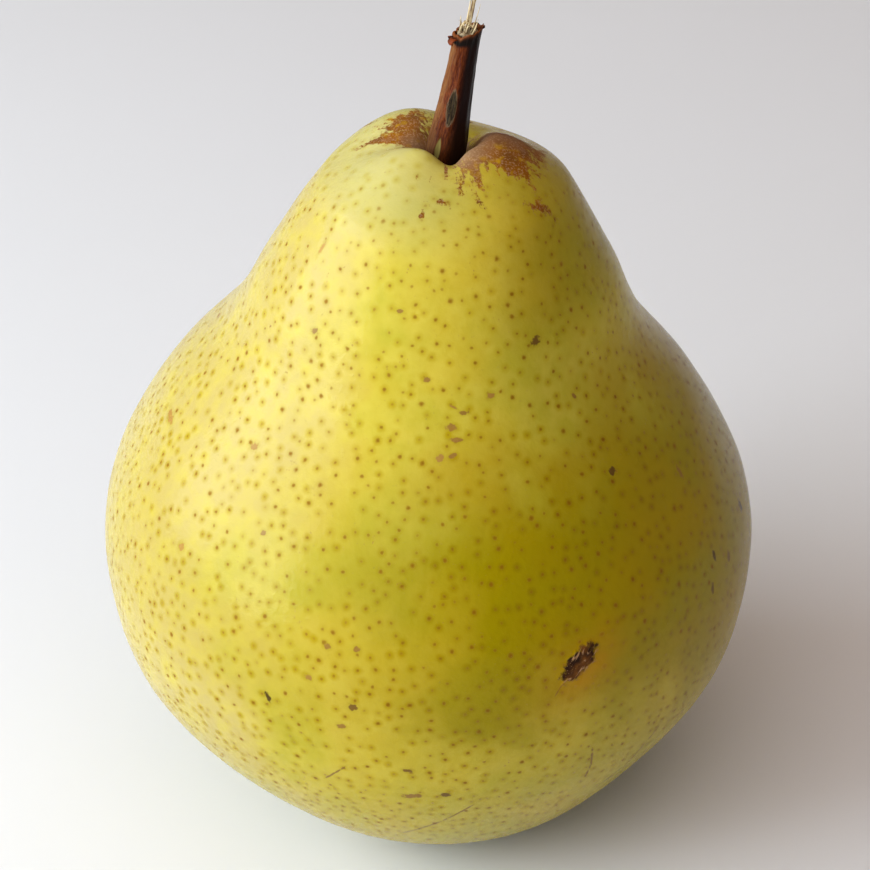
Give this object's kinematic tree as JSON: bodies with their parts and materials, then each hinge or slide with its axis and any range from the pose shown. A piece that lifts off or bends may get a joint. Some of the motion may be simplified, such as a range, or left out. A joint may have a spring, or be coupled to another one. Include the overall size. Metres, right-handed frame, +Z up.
{
  "type": "pear",
  "caption": "Ripe yellow-green pear with pore-dotted skin and russet round a short broken stem, standing upright on its lobed foot.",
  "frame": {"origin": "on the surface that the pear rests on, under the middle of its girth", "axes": "+Z up the fruit from foot to stem; +X is the side that the stem leans towards; -Y is the side with the corky scar"},
  "size_m": [0.0781, 0.0781, 0.1086],
  "materials": {
    "skin": "waxy yellow-green pear skin, satin, with small brown pores and tan russet round the stem",
    "bark": "dry red-brown stem bark, lightly glossy and wrinkled lengthwise",
    "torn_wood": "pale straw-coloured torn wood fibres, matt",
    "dried_calyx": "dried dark brown sepals, matt"
  },
  "bodies": {
    "root": {"fruit": "skin", "stem": "bark", "torn_fibres": "torn_wood", "calyx": "dried_calyx"}
  },
  "joints": []
}
